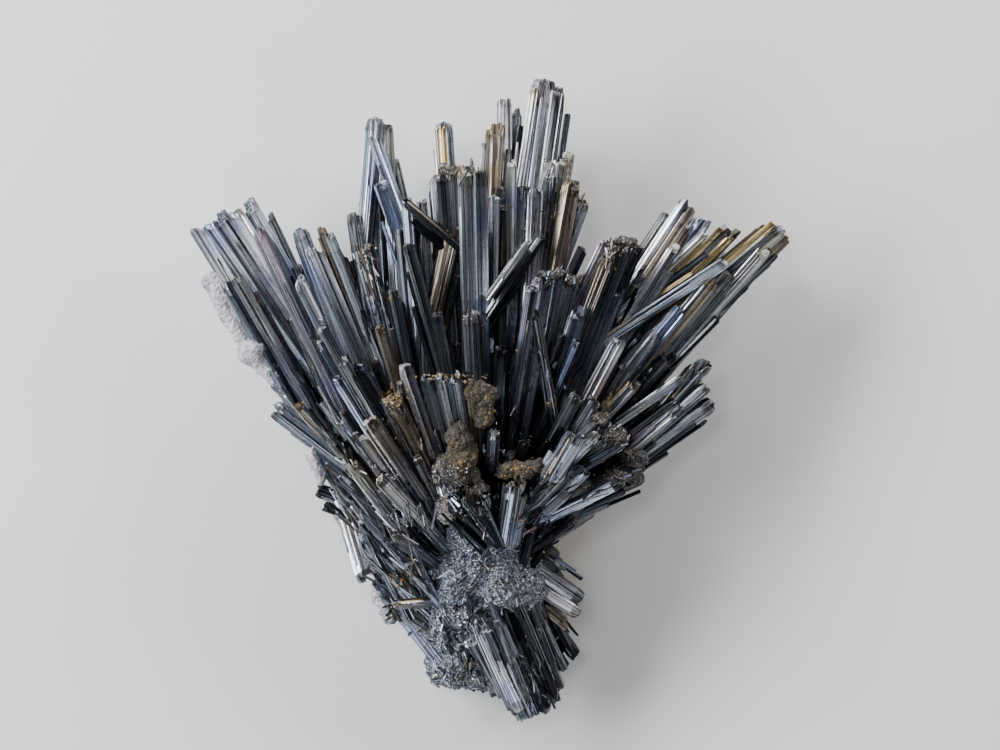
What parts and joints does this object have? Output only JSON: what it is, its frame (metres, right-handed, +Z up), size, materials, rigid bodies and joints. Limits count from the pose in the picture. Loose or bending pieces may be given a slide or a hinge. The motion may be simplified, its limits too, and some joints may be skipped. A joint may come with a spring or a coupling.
{
  "type": "stibnite crystal cluster specimen",
  "caption": "Stibnite cluster: a fan of striated metallic blades on a massive root, with pale crusts and ochre clots, lying on its back.",
  "frame": {"origin": "centre of the bounding box in plan, at the surface the specimen rests on", "axes": "+Y from the massive root to the crystal tips, +Z up, away from the surface it lies on, +X to the right when looking down on it with the tips away"},
  "size_m": [0.1212, 0.1288, 0.0541],
  "materials": {
    "stibnite": "bright metallic grey, striated along the crystals, with blue, violet and gold tarnish",
    "pale_crust": "pale pinkish grey, dull and granular",
    "ochre": "brown-yellow, earthy and rough"
  },
  "bodies": {
    "root": {"stibnite_cluster": "stibnite", "lodged_splinter": "stibnite", "pale_crust_upper": "pale_crust", "pale_crust_nodule": "pale_crust", "pale_crust_lower": "pale_crust", "pale_crust_foot": "pale_crust", "ochre_clot_upper": "ochre", "ochre_clot_middle": "ochre", "ochre_strip": "ochre"}
  },
  "joints": []
}
